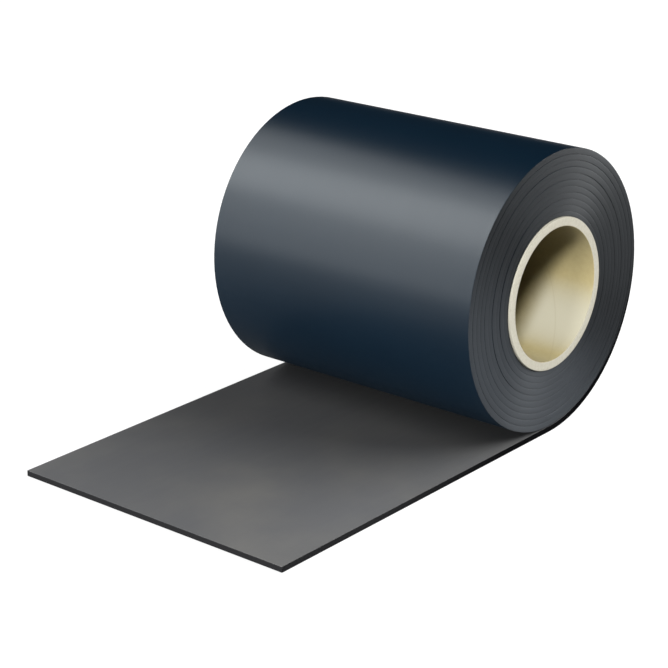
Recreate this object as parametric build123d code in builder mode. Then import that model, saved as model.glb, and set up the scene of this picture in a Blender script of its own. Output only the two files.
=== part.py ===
import os

from build123d import *

# A strip of rubber roofing membrane wound on a paper tube, with its free end rolled out flat on the floor.
# All lengths are in millimetres. X runs along the axis of the roll, the free end points to -Y and Z is up.
# The origin is on the floor, under the axis and halfway along the roll.

# Paper tube
core_bore_diameter = 76.0
core_wall = 5.3
core_overhang = 1.0  # how far the tube stands out of the winding on each end

# Strip
strip_width = 180.0
strip_thickness = 3.2
free_end_length = 228.0

# Winding
turns = 11
winding_slack = 0.2  # between the tube and the innermost turn
turn_gap = 0.3  # between one turn and the next, seen as the seam on the ends
seam_depth = 0.5  # how far the seam reaches in from each end

# Sizes that follow from these
core_outer_radius = core_bore_diameter / 2 + core_wall
winding_radius = core_outer_radius + winding_slack
pitch = strip_thickness + turn_gap
axis_height = winding_radius + turns * pitch - turn_gap
half_width = strip_width / 2
core_length = strip_width + 2 * core_overhang

# The strip lies on a spiral of quarter circles. Each quarter is smaller than the one before it by a quarter of
# the pitch, and its centre is moved by as much, so that neighbouring quarters share their tangent.
# The sections are drawn on the YZ plane, where the first coordinate is Y and the second is Z.
quarter_step = pitch / 4
quarter_centres = (
    (0, axis_height),
    (quarter_step, axis_height),
    (quarter_step, axis_height + quarter_step),
    (0, axis_height + quarter_step),
)
quarter_start_angles = (-90, 0, 90, 180)


def draw_turns(first_turn, last_turn, outward):
    """Draw whole turns of the spiral, counted inward from the floor and moved outward by a distance."""
    for quarter in range(4 * first_turn, 4 * last_turn):
        side = quarter % 4
        radius = axis_height - quarter * quarter_step + outward
        CenterArc(quarter_centres[side], radius, quarter_start_angles[side], 90)


# Paper tube, open from end to end and a little longer than the strip is wide
with BuildPart() as core_tube:
    with BuildSketch(Plane.YZ.offset(-core_length / 2)):
        with Locations((0, axis_height)):
            Circle(core_outer_radius)
            Circle(core_bore_diameter / 2, mode=Mode.SUBTRACT)
    extrude(amount=core_length)

# Wound strip and its free end, one length of rubber
with BuildPart() as membrane:
    with BuildSketch(Plane.YZ.offset(-half_width)):
        with BuildLine():
            draw_turns(0, 1, 0)
            Polyline(
                (0, pitch),
                (0, strip_thickness),
                (-free_end_length, strip_thickness),
                (-free_end_length, 0),
                (0, 0),
            )
        make_face()
        with Locations((0, axis_height)):
            Circle(winding_radius, mode=Mode.SUBTRACT)
    extrude(amount=strip_width)

    # Seam between the turns on both ends, from the nip to the start of the innermost turn
    innermost_turn = int(turns) - 1
    seam_end = innermost_turn * pitch
    for end_position, inward in ((-half_width, seam_depth), (half_width, -seam_depth)):
        with BuildSketch(Plane.YZ.offset(end_position)):
            with BuildLine():
                draw_turns(1, innermost_turn, 0)
                draw_turns(1, innermost_turn, turn_gap)
                Line((0, pitch), (0, strip_thickness))
                Line((0, seam_end), (0, seam_end - turn_gap))
            make_face()
        extrude(amount=inward, mode=Mode.SUBTRACT)

os.makedirs("parts", exist_ok=True)
core_tube.part.label = "core_tube"
membrane.part.label = "membrane"
export_step(core_tube.part, "parts/core_tube.step")
export_step(membrane.part, "parts/membrane.step")
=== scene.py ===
import math

import bpy
import numpy as np
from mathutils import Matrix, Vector


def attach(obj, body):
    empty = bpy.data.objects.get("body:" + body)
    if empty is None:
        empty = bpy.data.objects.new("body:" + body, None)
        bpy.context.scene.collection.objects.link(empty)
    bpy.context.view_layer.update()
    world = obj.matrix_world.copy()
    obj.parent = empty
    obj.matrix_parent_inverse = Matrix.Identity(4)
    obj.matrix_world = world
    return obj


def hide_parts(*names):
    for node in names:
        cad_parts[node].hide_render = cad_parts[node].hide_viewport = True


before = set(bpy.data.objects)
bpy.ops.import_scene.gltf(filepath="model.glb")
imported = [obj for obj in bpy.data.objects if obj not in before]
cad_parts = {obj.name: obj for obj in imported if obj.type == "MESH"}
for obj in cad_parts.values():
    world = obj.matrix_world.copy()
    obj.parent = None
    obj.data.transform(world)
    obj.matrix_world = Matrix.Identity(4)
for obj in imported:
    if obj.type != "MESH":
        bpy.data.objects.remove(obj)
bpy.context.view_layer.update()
mm = 0.001
white = (1, 1, 1, 1)
print("frame loaded:", len(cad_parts), "nodes")


# helpers for node trees and meshes

def feed(tree, node, inputs):
    # an input takes a value, or a link where it is given another node's output
    for name, value in inputs.items():
        if isinstance(value, bpy.types.NodeSocket):
            tree.links.new(value, node.inputs[name])
        else:
            node.inputs[name].default_value = value


def addNode(tree, kind, inputs=None, **settings):
    node = tree.nodes.new(kind)
    for name, value in settings.items():
        setattr(node, name, value)
    feed(tree, node, inputs or {})
    return node


def newFinish(name):
    material = bpy.data.materials.new(name)
    material.use_nodes = True
    return material, material.node_tree, material.node_tree.nodes["Principled BSDF"]


def mixColours(tree, amount, first, second):
    return addNode(tree, "ShaderNodeMix", {0: amount, 6: first, 7: second}, data_type="RGBA").outputs[2]


def mathNode(tree, operation, first, second=0.0):
    return addNode(tree, "ShaderNodeMath", {0: first, 1: second}, operation=operation).outputs[0]


def remap(tree, value, fromRange, toRange=(0.0, 1.0), smooth=True):
    ends = {"From Min": fromRange[0], "From Max": fromRange[1], "To Min": toRange[0], "To Max": toRange[1]}
    easing = "SMOOTHSTEP" if smooth else "LINEAR"
    return addNode(tree, "ShaderNodeMapRange", {"Value": value, **ends}, interpolation_type=easing).outputs[0]


def objectPlace(tree):
    return addNode(tree, "ShaderNodeTexCoord").outputs["Object"]


def uvPlace(tree):
    return addNode(tree, "ShaderNodeUVMap", uv_map="along").outputs[0]


def splitPlace(tree, place):
    return addNode(tree, "ShaderNodeSeparateXYZ", {"Vector": place}).outputs


def fineGrain(tree, scale, detail=2.0, roughness=0.55):
    # even noise in object coordinates
    inputs = {"Vector": objectPlace(tree), "Scale": scale, "Detail": detail, "Roughness": roughness}
    return addNode(tree, "ShaderNodeTexNoise", inputs).outputs[0]


def relief(tree, height, strength, depth):
    inputs = {"Height": height, "Strength": strength, "Distance": depth}
    return addNode(tree, "ShaderNodeBump", inputs).outputs[0]


def runLength(first, second):
    # way along a line of points: the running sum of the steps from each point to the next
    return np.concatenate([[0], np.cumsum(np.hypot(np.diff(first), np.diff(second)))])


def gridFaces(rows, columns):
    # quads between neighbouring rows, the columns closed into a loop
    row, column = np.meshgrid(np.arange(rows - 1), np.arange(columns), indexing="ij")
    following = (column + 1) % columns
    return np.stack([row * columns + column, row * columns + following,
                     (row + 1) * columns + following, (row + 1) * columns + column], axis=-1).reshape(-1, 4)


def loopMesh(name, points, faces, caps, uv, finishes, faceFinish):
    # points in millimetres, quads and then the caps, one uv pair for every face corner
    mesh = bpy.data.meshes.new(name)
    mesh.from_pydata((points * mm).tolist(), [], faces.tolist() + [list(cap) for cap in caps])
    for finish in finishes:
        mesh.materials.append(finish)
    mesh.polygons.foreach_set("material_index", faceFinish.astype(np.int32))
    mesh.polygons.foreach_set("use_smooth", np.ones(len(mesh.polygons), dtype=bool))
    layer = mesh.uv_layers.new(name="along")
    layer.data.foreach_set("uv", uv.astype(np.float32).ravel())
    mesh.update()
    mesh.validate()
    piece = bpy.data.objects.new(name, mesh)
    bpy.context.scene.collection.objects.link(piece)
    return piece


# the rubber strip, wound turns and free end in one length. Sizes in millimetres. In the finishes, lengths are
# in metres, and uv gives metres along the strip from its free end and metres round its section

strip = dict(
    width=180.0, thickness=3.2, woundThickness=3.46, freeEnd=228.0, quarterTurns=43.375, pitch=3.5,
    axisHeight=81.7, windingRadius=43.5, cutRadius=0.10, edgeCrown=0.05,
    cornerLoose=0.16, cornerTight=0.05, sharpQuarters=0.5, looseQuarters=16,
    sideDrift=0.12, driftWaves=((0.6, 0.93, 1.3), (0.4, 2.37, 0.4)),  # share, rate and start of each wave
    hold=0.5, quarterSteps=24, freeEndSteps=36, acrossSteps=8, cornerSteps=3, edgeSteps=4, cutSteps=4,
    outside=dict(
        navy=(0.0005, 0.0069, 0.0156, 1), navyDusty=(0.0009, 0.0080, 0.0175, 1),
        cloudScale=14.0, cloudDetail=4.0, cloudRange=(0.35, 0.72),
        streakScale=(6.0, 700.0), streakRange=(0.3, 0.7), roughness=(0.332, 0.348),
        specular=0.72, tint=(0.93, 0.98, 1.0, 1), grainScale=900.0, grainStrength=0.06, grainDepth=0.0004),
    inside=dict(
        grey=(0.099, 0.101, 0.105, 1), greyWorn=(0.126, 0.125, 0.121, 1), greyRollShade=(0.051, 0.052, 0.054, 1),
        wornScale=11.0, wornDetail=5.0, paleMarkRange=(0.35, 0.70), rollShadeRange=(0.05, 0.16), rollShadeMost=0.48,
        rubbedScale=(4.0, 120.0), rubbedRange=(0.3, 0.7), roughness=(0.63, 0.69),
        specular=0.20, grainScale=1100.0, grainStrength=0.10, grainDepth=0.0004),
    edge=dict(
        # black is painted shade on the free end's slit edges and the outermost turn
        scuffed=(0.018, 0.018, 0.019, 1), black=(0.002, 0.002, 0.0026, 1), intoShadeRange=(0.06, 0.20),
        # the turns' grey goes to the lighter tone low on the roll and towards the free end, as painted light
        grey=(0.0060, 0.0069, 0.0082, 1), paintedLightGrey=(0.0360, 0.0415, 0.0490, 1),
        shadeEndRange=(0.360, 0.395), shadeEndSlant=0.10, paintedLightHeight=(0.100, 0.010), paintedLightLean=0.6,
        mottleScale=(30.0, 300.0), mottleRange=(0.3, 0.7), mottleAmount=(0.88, 1.0),
        roughness=0.50, specular=(0.03, 0.80), tint=(0.86, 0.94, 1.0, 1),  # specular from the black painted shade to the blue grey turns
        brushed=0.80, brushedTurn=0.25, slitScale=(60.0, 2500.0), slitStrength=0.08, slitDepth=0.0003))
outsideAt, insideAt, edgeAt = range(3)  # places of the three finishes on the mesh


def stripNoise(tree, scale, detail=3.0, roughness=0.6):
    # noise with one scale along the strip and one across it
    stretched = addNode(tree, "ShaderNodeMapping", {"Vector": uvPlace(tree), "Scale": (*scale, 1)}).outputs[0]
    inputs = {"Vector": stretched, "Scale": 1.0, "Detail": detail, "Roughness": roughness}
    return addNode(tree, "ShaderNodeTexNoise", inputs).outputs[0]


def outsideFinish():
    # satin calendered face: navy black, faint streaks along the strip, fine grain
    look = strip["outside"]
    material, tree, shader = newFinish("rubberOutside")
    cloud = remap(tree, fineGrain(tree, look["cloudScale"], look["cloudDetail"]), look["cloudRange"])
    streaks = stripNoise(tree, look["streakScale"])
    grain = fineGrain(tree, look["grainScale"])
    feed(tree, shader, {
        "Base Color": mixColours(tree, cloud, look["navy"], look["navyDusty"]),
        "Roughness": remap(tree, streaks, look["streakRange"], look["roughness"]),
        "Specular IOR Level": look["specular"],
        "Specular Tint": look["tint"],
        "Normal": relief(tree, grain, look["grainStrength"], look["grainDepth"])})
    return material


def insideFinish():
    # matte reverse face, seen on the free end: grey with worn patches and fine grain, and painted shade
    # that darkens it towards the roll
    look = strip["inside"]
    material, tree, shader = newFinish("rubberInside")
    paleMark = remap(tree, fineGrain(tree, look["wornScale"], look["wornDetail"]), look["paleMarkRange"])
    tone = mixColours(tree, paleMark, look["grey"], look["greyWorn"])
    along = splitPlace(tree, uvPlace(tree))[0]
    # painted shade: the grey darkens towards the roll, where the roll's shade falls
    rollShade = remap(tree, along, look["rollShadeRange"], (0.0, look["rollShadeMost"]))
    rubbed = stripNoise(tree, look["rubbedScale"])
    grain = fineGrain(tree, look["grainScale"])
    feed(tree, shader, {
        "Base Color": mixColours(tree, rollShade, tone, look["greyRollShade"]),
        "Roughness": remap(tree, rubbed, look["rubbedRange"], look["roughness"]),
        "Specular IOR Level": look["specular"],
        "Normal": relief(tree, grain, look["grainStrength"], look["grainDepth"])})
    return material


def edgeFinish():
    # slit edges: scuffed at the front of the free end, then near black as painted shade towards the roll and
    # on the outermost turn, blue grey on the wound turns. The grey starts earlier towards the inner face, so
    # the painted shade ends in a wedge on the outermost turn. The grey is lighter low on the roll and towards
    # the free end, painted light
    look = strip["edge"]
    material, tree, shader = newFinish("rubberEdge")
    along = splitPlace(tree, uvPlace(tree))[0]
    # painted shade: near black from the front of the free end towards the roll
    intoShade = remap(tree, along, look["intoShadeRange"])
    scuffedToShade = mixColours(tree, intoShade, look["scuffed"], look["black"])
    depth = addNode(tree, "ShaderNodeAttribute", attribute_name="depth").outputs["Fac"]
    # where the painted shade ends in a wedge on the outermost turn and the grey turns begin
    slanted = mathNode(tree, "ADD", along, mathNode(tree, "MULTIPLY", depth, look["shadeEndSlant"]))
    pastShade = remap(tree, slanted, look["shadeEndRange"])
    mottle = remap(tree, stripNoise(tree, look["mottleScale"]), look["mottleRange"], look["mottleAmount"])
    # painted light: the turns' grey is lighter low on the roll and towards the free end
    place = splitPlace(tree, objectPlace(tree))
    litLean = mathNode(tree, "ADD", place[2], mathNode(tree, "MULTIPLY", place[1], look["paintedLightLean"]))
    turnsWithPaintedLight = mixColours(tree, remap(tree, litLean, look["paintedLightHeight"]), look["grey"], look["paintedLightGrey"])
    slit = addNode(tree, "ShaderNodeTangent", direction_type="UV_MAP", uv_map="along").outputs[0]
    feed(tree, shader, {
        "Base Color": mixColours(tree, mathNode(tree, "MULTIPLY", pastShade, mottle), scuffedToShade, turnsWithPaintedLight),
        "Roughness": look["roughness"],
        "Specular IOR Level": remap(tree, pastShade, (0.0, 1.0), look["specular"], smooth=False),
        "Specular Tint": look["tint"],
        "Anisotropic": look["brushed"],  # the knife runs one way, along the strip
        "Anisotropic Rotation": look["brushedTurn"],
        "Tangent": slit,
        "Normal": relief(tree, stripNoise(tree, look["slitScale"]), look["slitStrength"], look["slitDepth"])})
    return material


def stripPath():
    # the outer face, seen along the axis. The free end is a straight run along the floor. After it every
    # quarter turn is a circle arc whose radius is a quarter of the pitch smaller than the one before, about a
    # centre that steps round a square of that size, so the arcs join with a common tangent
    step, height = strip["pitch"] / 4, strip["axisHeight"]
    centreY = np.array([0, step, step, 0])
    centreZ = np.array([0, 0, step, step]) + height
    rounding = np.radians(np.linspace(0, 90, strip["cutSteps"] + 1))
    cut = strip["cutRadius"] * (1 - np.cos(rounding))
    flat = strip["cutRadius"] + strip["hold"]
    run = np.concatenate([cut, np.linspace(flat, strip["freeEnd"], strip["freeEndSteps"])[:-1]])
    quarters = np.linspace(0, strip["quarterTurns"], int(strip["quarterTurns"] * strip["quarterSteps"]) + 1)
    hair = 1e-9  # so that a whole quarter counts with the arc that starts there
    index = np.floor(quarters + hair).astype(int)
    angle = np.radians(90 * quarters - 90)
    radius = height - index * step
    arcY = centreY[index % 4] + radius * np.cos(angle)
    arcZ = centreZ[index % 4] + radius * np.sin(angle)
    y = np.concatenate([run - strip["freeEnd"], arcY])
    z = np.concatenate([np.zeros(len(run)), arcZ])
    normalY = np.concatenate([np.zeros(len(run)), np.cos(angle)])
    normalZ = np.concatenate([-np.ones(len(run)), np.sin(angle)])
    wound = np.concatenate([np.zeros(len(run)), quarters])
    inset = np.concatenate([strip["cutRadius"] * (1 - np.sin(rounding)), np.zeros(len(y) - len(cut))])
    return y, z, normalY, normalZ, wound, inset


def stripProfile(corner):
    # a flat bar with rounded corners and slightly crowned slit edges, given as place across the strip and
    # depth under the outer face; a point close to each corner keeps the flat faces flat under smooth shading
    half, thick = strip["width"] / 2, strip["thickness"]
    side = half - strip["edgeCrown"]
    flat = side - corner
    held = flat - strip["hold"]
    across = np.concatenate([[-flat], np.linspace(-held, held, strip["acrossSteps"] + 1), [flat]])
    turn = np.radians(np.linspace(0, 90, strip["cornerSteps"] + 1))[1:]
    deep = np.linspace(corner, thick - corner, strip["edgeSteps"] + 1)[1:-1]
    crown = strip["edgeCrown"] * (1 - ((deep - thick / 2) / (thick / 2)) ** 2)
    topX, topD = flat + corner * np.sin(turn), corner - corner * np.cos(turn)
    lowX, lowD = topX[::-1], thick - topD[::-1]
    rightX = np.concatenate([topX, side + crown, lowX])
    rightD = np.concatenate([topD, deep, lowD])
    x = np.concatenate([across, rightX, across[::-1], -rightX[::-1]])
    d = np.concatenate([np.zeros(len(across)), rightD, np.full(len(across), thick), rightD[::-1]])
    flatFaces, edgeFaces = len(across) - 1, len(rightX) + 1
    finish = np.repeat([outsideAt, edgeAt, insideAt, edgeAt], [flatFaces, edgeFaces, flatFaces, edgeFaces])
    return x, d, finish


def buildStrip():
    # point = outer face point minus its normal times the depth, moved sideways by a slow drift of the winding
    y, z, normalY, normalZ, wound, inset = stripPath()
    looseX, looseD, finish = stripProfile(strip["cornerLoose"])
    tightX, tightD = stripProfile(strip["cornerTight"])[:2]
    half, thick = strip["width"] / 2, strip["thickness"]
    eased = np.clip(wound, 0, 1)
    eased = eased * eased * (3 - 2 * eased)  # over the first quarter turn
    # sharp corners on the free end, rounder ones on the outer turns, sharp again where the turns lie closer
    tight = np.maximum(1 - wound / strip["sharpQuarters"], wound / strip["looseQuarters"])
    tight = np.clip(tight, 0, 1)[:, None]
    x = looseX + (tightX - looseX) * tight
    d = looseD + (tightD - looseD) * tight
    room = np.hypot(y, z - strip["axisHeight"]) - strip["windingRadius"]  # from the outer face to the tube
    thicker = 1 + (strip["woundThickness"] / thick - 1) * eased
    thicker = np.minimum(thicker, room / thick)  # the first turn is skived, so that it lies round on the tube
    drift = sum(share * np.sin(rate * wound + start) for share, rate, start in strip["driftWaves"])
    drift = strip["sideDrift"] * eased * drift
    acrossAll = x * (1 - inset[:, None] / half) + drift[:, None]
    depthAll = thick / 2 + (d - thick / 2) * (1 - inset[:, None] / (thick / 2))
    depthAll = depthAll * thicker[:, None]
    points = np.stack([acrossAll, y[:, None] - normalY[:, None] * depthAll,
                       z[:, None] - normalZ[:, None] * depthAll], axis=-1)
    rows, columns = points.shape[:2]
    faces = gridFaces(rows, columns)[:, ::-1]
    caps = [np.arange(columns), np.arange(columns)[::-1] + (rows - 1) * columns]
    faceFinish = np.concatenate([np.tile(finish, rows - 1), [edgeAt, edgeAt]])
    along = np.repeat(runLength(y, z) * mm, columns)
    around = np.tile(runLength(looseX, looseD) * mm, rows)
    corners = np.concatenate([faces.ravel(), caps[0], caps[1]])
    uv = np.stack([along[corners], around[corners]], axis=-1)
    finishes = [outsideFinish(), insideFinish(), edgeFinish()]
    piece = loopMesh("membraneStrip", points.reshape(-1, 3), faces, caps, uv, finishes, faceFinish)
    depth = piece.data.attributes.new("depth", "FLOAT", "POINT")  # 0 on the outer face, 1 on the inner
    depth.data.foreach_set("value", (depthAll / (thick * thicker[:, None])).astype(np.float32).ravel())
    return piece


membraneStrip = buildStrip()
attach(membraneStrip, "root")
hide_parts("membrane")
print("strip built:", len(membraneStrip.data.polygons), "faces")


# the paper tube. Sizes in millimetres. In the finishes, lengths are in metres, and uv gives turns round the
# tube and metres along it

tube = dict(
    boreRadius=38.0, wall=5.3, length=182.0, axisHeight=81.7, lip=0.30,
    hold=0.5, roundSteps=192, wallSteps=30, lipSteps=4, endSteps=5,
    cutEnd=dict(
        cream=(0.580, 0.557, 0.470, 1), creamDark=(0.510, 0.482, 0.390, 1),
        plyThickness=0.00075, plyShare=0.12, fibreScale=700.0, fibreDetail=4.0, toneRange=(0.35, 0.75),
        roughness=0.9, specular=0.25, reliefStrength=0.2, reliefDepth=0.0003),
    sides=dict(
        khaki=(0.318, 0.270, 0.142, 1), khakiDark=(0.278, 0.232, 0.116, 1),
        liner=(0.330, 0.317, 0.267, 1), linerDark=(0.300, 0.285, 0.230, 1),
        fibreScale=420.0, fibreDetail=4.0, fibreRange=(0.1, 0.95),
        plyLine=(0.15, 0.125, 0.065, 1), plyPitch=0.118, lineWidth=0.006, lineShare=0.12,
        # the pale colour, with the side, range and reach after it, paints a highlight low in the bore
        paleMark=(0.334, 0.316, 0.243, 1), paintedHighlightSide=(0, 0.74, -0.67), paleMarkRange=(0.0290, 0.0388),
        paintedHighlightReach=(0.046, 0.064), roughness=0.36,
        fibreHeight=0.15, lineDepth=0.3, reliefStrength=0.25, reliefDepth=0.0003))
boreAt, cutEndAt, linerAt = range(3)  # places of the three finishes on the mesh


def axisPlace(tree):
    # object coordinates, with the tube's axis at their middle
    lowered = (0, 0, -tube["axisHeight"] * mm)
    return addNode(tree, "ShaderNodeMapping", {"Vector": objectPlace(tree), "Location": lowered}).outputs[0]


def tubeEndFinish():
    # cut end of the wound paper: thin rings of plies, soft fibres
    look = tube["cutEnd"]
    material, tree, shader = newFinish("tubeCutEnd")
    place = splitPlace(tree, axisPlace(tree))
    squareY, squareZ = mathNode(tree, "POWER", place[1], 2.0), mathNode(tree, "POWER", place[2], 2.0)
    radius = mathNode(tree, "SQRT", mathNode(tree, "ADD", squareY, squareZ))
    rings = mathNode(tree, "SINE", mathNode(tree, "MULTIPLY", radius, 2 * math.pi / look["plyThickness"]))
    fibres = fineGrain(tree, look["fibreScale"], look["fibreDetail"])
    tone = mathNode(tree, "ADD", mathNode(tree, "MULTIPLY", rings, look["plyShare"]), fibres)
    darker = remap(tree, tone, look["toneRange"])
    feed(tree, shader, {
        "Base Color": mixColours(tree, darker, look["cream"], look["creamDark"]),
        "Roughness": look["roughness"],
        "Specular IOR Level": look["specular"],
        "Normal": relief(tree, tone, look["reliefStrength"], look["reliefDepth"])})
    return material


def tubeWallFinish(name, pale, dark):
    # smooth paper wall with the butt line of the helical ply. A pale stripe low on one side of the bore,
    # close to the two mouths, is a painted highlight where the light falls in
    look = tube["sides"]
    material, tree, shader = newFinish(name)
    fibres = fineGrain(tree, look["fibreScale"], look["fibreDetail"])
    tone = mixColours(tree, remap(tree, fibres, look["fibreRange"]), look[pale], look[dark])
    place = axisPlace(tree)
    # painted highlight: a pale stripe low on the bore wall near the mouths, fading deeper in
    side = addNode(tree, "ShaderNodeVectorMath", {0: place, 1: look["paintedHighlightSide"]}, operation="DOT_PRODUCT")
    paintedHighlightStripe = remap(tree, side.outputs["Value"], look["paleMarkRange"])
    fromMiddle = mathNode(tree, "ABSOLUTE", splitPlace(tree, place)[0])
    paleMark = mathNode(tree, "MULTIPLY", paintedHighlightStripe, remap(tree, fromMiddle, look["paintedHighlightReach"]))
    tone = mixColours(tree, paleMark, tone, look["paleMark"])
    turns = splitPlace(tree, uvPlace(tree))
    turned = mathNode(tree, "ADD", mathNode(tree, "DIVIDE", turns[1], look["plyPitch"]), turns[0])
    fromLine = mathNode(tree, "ABSOLUTE", mathNode(tree, "SUBTRACT", mathNode(tree, "FRACT", turned), 0.5))
    line = remap(tree, fromLine, (0.0, look["lineWidth"]), (1.0, 0.0))
    lineAmount = mathNode(tree, "MULTIPLY", line, look["lineShare"])
    height = mathNode(tree, "SUBTRACT", mathNode(tree, "MULTIPLY", fibres, look["fibreHeight"]),
                      mathNode(tree, "MULTIPLY", line, look["lineDepth"]))
    feed(tree, shader, {
        "Base Color": mixColours(tree, lineAmount, tone, look["plyLine"]),
        "Roughness": look["roughness"],
        "Normal": relief(tree, height, look["reliefStrength"], look["reliefDepth"])})
    return material


def buildTube():
    # a closed section of the wall turned about the axis: along the bore, round the lip, up the cut end, back
    # along the outside and round the other end
    half, lip = tube["length"] / 2, tube["lip"]
    inner, outer = tube["boreRadius"], tube["boreRadius"] + tube["wall"]
    turn = np.radians(np.linspace(0, 90, tube["lipSteps"] + 1))[1:]
    held = half - lip - tube["hold"]
    along = np.concatenate([[lip - half], np.linspace(-held, held, tube["wallSteps"] + 1), [half - lip]])
    upX, upR = half - lip + lip * np.sin(turn), inner + lip - lip * np.cos(turn)
    endR = np.linspace(inner + lip, outer - lip, tube["endSteps"] + 1)[1:]
    downX, downR = half - lip + lip * np.cos(turn), outer - lip + lip * np.sin(turn)
    sideX = np.concatenate([upX, np.full(len(endR), half), downX])
    sideR = np.concatenate([upR, endR, downR])
    x = np.concatenate([along, sideX, along[::-1][1:], -sideX[::-1][1:]])
    r = np.concatenate([np.full(len(along), inner), sideR, np.full(len(along) - 1, outer), sideR[::-1][1:]])
    atEnd, outside = np.isclose(np.abs(x), half), r > inner + tube["wall"] / 2
    finish = np.where(atEnd & np.roll(atEnd, -1), cutEndAt, np.where(outside, linerAt, boreAt))
    angle = np.linspace(0, 2 * np.pi, tube["roundSteps"] + 1)
    points = np.stack([np.broadcast_to(x[None, :], (len(angle), len(x))),
                       np.cos(angle)[:, None] * r[None, :],
                       tube["axisHeight"] + np.sin(angle)[:, None] * r[None, :]], axis=-1)
    rows, columns = points.shape[:2]
    faces = gridFaces(rows, columns)
    turns = np.repeat(angle / (2 * np.pi), columns)
    lengths = np.tile(x * mm, rows)
    uv = np.stack([turns[faces.ravel()], lengths[faces.ravel()]], axis=-1)
    lastRow = (rows - 1) * columns
    joined = np.where(faces >= lastRow, faces - lastRow, faces)  # the last row is the first again
    faceFinish = np.tile(finish, rows - 1)
    finishes = [tubeWallFinish("tubeBore", "khaki", "khakiDark"), tubeEndFinish(),
                tubeWallFinish("tubeOutside", "liner", "linerDark")]
    return loopMesh("coreTube", points[:-1].reshape(-1, 3), joined, [], uv, finishes, faceFinish)


coreTube = buildTube()
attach(coreTube, "root")
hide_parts("core_tube")
print("tube built:", len(coreTube.data.polygons), "faces")


# floor, world, softboxes and camera, in metres

studio = dict(
    floorRadius=9.0, floorSteps=96, floorDrop=0.0004, floorColour=(0.18, 0.18, 0.18, 1), floorRoughness=0.9,
    glowRange=(0.5, 2.5), glow=(0.90, 1.0), mirroredRange=(0.12, 0.40), mirrored=(0.0, 0.21),
    worldGlow=(0.012, 1.0))  # as light, and as the camera sees it


def buildFloor():
    # a wide disc: white to the camera apart from the shadow, an ordinary floor to the light it bounces
    angle = np.linspace(0, 2 * np.pi, studio["floorSteps"] + 1)[:-1]
    ring = np.stack([np.cos(angle), np.sin(angle), np.zeros(len(angle))], axis=-1) * studio["floorRadius"]
    ring[:, 2] = -studio["floorDrop"]
    mesh = bpy.data.meshes.new("studioFloor")
    mesh.from_pydata(ring.tolist(), [], [list(range(len(ring)))])
    material, tree, shader = newFinish("studioFloor")
    # the floor glows for the camera, and in mirrored rays away from the contact shade of the roll
    path = addNode(tree, "ShaderNodeLightPath").outputs
    away = addNode(tree, "ShaderNodeVectorMath", {0: objectPlace(tree)}, operation="LENGTH").outputs["Value"]
    seenGlow = remap(tree, away, studio["glowRange"], studio["glow"])
    seen = mathNode(tree, "MULTIPLY", path["Is Camera Ray"], seenGlow)
    mirroredRay = mathNode(tree, "MAXIMUM", path["Is Glossy Ray"], path["Is Transmission Ray"])
    mirroredGlow = remap(tree, away, studio["mirroredRange"], studio["mirrored"], smooth=False)
    mirrored = mathNode(tree, "MULTIPLY", mirroredRay, mirroredGlow)
    feed(tree, shader, {
        "Base Color": studio["floorColour"],
        "Roughness": studio["floorRoughness"],
        "Specular IOR Level": 0.0,
        "Emission Color": white,
        "Emission Strength": mathNode(tree, "MAXIMUM", seen, mirrored)})
    mesh.materials.append(material)
    floor = bpy.data.objects.new("studioFloor", mesh)
    bpy.context.scene.collection.objects.link(floor)


def buildWorld():
    world = bpy.data.worlds.new("studioWorld")
    bpy.context.scene.world = world
    world.use_nodes = True
    tree = world.node_tree
    cameraRay = addNode(tree, "ShaderNodeLightPath").outputs["Is Camera Ray"]
    strength = remap(tree, cameraRay, (0.0, 1.0), studio["worldGlow"], smooth=False)
    feed(tree, tree.nodes["Background"], {"Color": white, "Strength": strength})


# the strip lamps hang along the roll, which mirrors them over its whole length. A lamp without gloss leaves
# no mirror image of itself. One that lights or spares a piece reaches it alone, or every piece but that one

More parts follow.
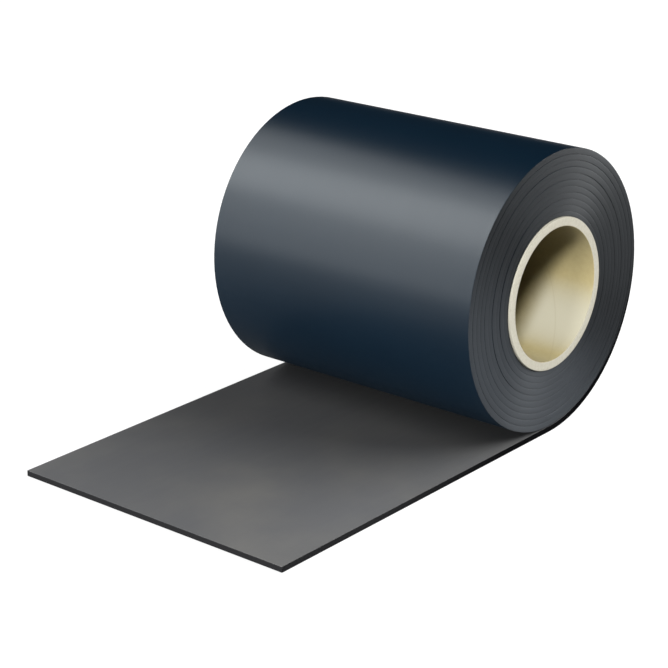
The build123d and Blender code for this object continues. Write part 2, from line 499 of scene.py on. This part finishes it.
rollFoot = (0.0, -0.05, 0.06)
lamps = [
    dict(name="upperStrip", place=(-1.68, -0.18, 2.27), aim=(-1.52, 0.0, 0.08), size=(1.8, 0.80), watts=9.5),
    dict(name="keyStrip", place=(-1.68, -1.21, 1.92), aim=(-1.25, 0.0, 0.08), size=(1.8, 1.30), watts=32.5),
    dict(name="middleStrip", place=(-1.68, -1.97, 1.06), aim=(-1.68, 0.0, 0.08), size=(1.8, 0.90),
         watts=12.2),
    dict(name="lowStrip", place=(-1.68, -2.20, 0.30), aim=(-1.68, 0.0, 0.08), size=(1.8, 0.60), watts=7.4),
    dict(name="frontFill", place=(0.0, -2.55, 0.26), aim=rollFoot, size=(1.0, 0.5), watts=82.0, gloss=False),
    dict(name="backLight", place=(1.42, 1.34, 1.60), aim=rollFoot, size=(2.8, 1.1), watts=114.0, gloss=False,
         spares=coreTube),
    dict(name="backGlow", place=(1.38, 1.30, 1.56), aim=rollFoot, size=(2.8, 1.1), watts=15.0,
         spares=coreTube),
    dict(name="endRake", place=(0.93, 2.26, 0.12), aim=rollFoot, size=(0.9, 0.2), watts=8.0),
    dict(name="tubeLight", place=(1.18, -1.60, 1.66), aim=(0.08, 0.02, 0.09), size=(0.45, 0.45), watts=130.0,
         gloss=False, lights=coreTube),
]


def buildLamps():
    for lamp in lamps:
        light = bpy.data.lights.new(lamp["name"], "AREA")
        light.shape = "RECTANGLE"
        light.size, light.size_y = lamp["size"]
        light.energy = lamp["watts"]
        softbox = bpy.data.objects.new(lamp["name"], light)
        bpy.context.scene.collection.objects.link(softbox)
        softbox.location = lamp["place"]
        towards = Vector(lamp["aim"]) - Vector(lamp["place"])
        softbox.rotation_euler = towards.to_track_quat("-Z", "Y").to_euler()
        softbox.visible_glossy = lamp.get("gloss", True)
        linked = lamp.get("lights") or lamp.get("spares")
        if linked:
            reach = bpy.data.collections.new(lamp["name"] + "Reach")
            reach.objects.link(linked)
            state = "INCLUDE" if "lights" in lamp else "EXCLUDE"
            reach.collection_objects[0].light_linking.link_state = state
            softbox.light_linking.receiver_collection = reach


# camera fitted to the outlines of the roll and free end; angles in degrees, lens and sensor in millimetres

view = dict(azimuth=39.662, elevation=20.202, away=1.2585, target=(-0.05781, -0.01048, 0.02662),
            lens=114.09, sensor=36.0, clipEnd=100.0)


def buildCamera():
    azimuth, elevation = math.radians(view["azimuth"]), math.radians(view["elevation"])
    back = np.array([math.sin(azimuth) * math.cos(elevation), -math.cos(azimuth) * math.cos(elevation),
                     math.sin(elevation)])
    data = bpy.data.cameras.new("photoCamera")
    data.sensor_fit = "HORIZONTAL"
    data.sensor_width = view["sensor"]
    data.lens = view["lens"]
    data.clip_end = view["clipEnd"]
    camera = bpy.data.objects.new("photoCamera", data)
    bpy.context.scene.collection.objects.link(camera)
    camera.location = np.array(view["target"]) + back * view["away"]
    camera.rotation_euler = (math.pi / 2 - elevation, 0, azimuth)
    bpy.context.scene.camera = camera


buildFloor()
buildWorld()
buildLamps()
buildCamera()
bpy.context.scene.view_settings.view_transform = "Standard"
print("studio built:", len(lamps), "softboxes")
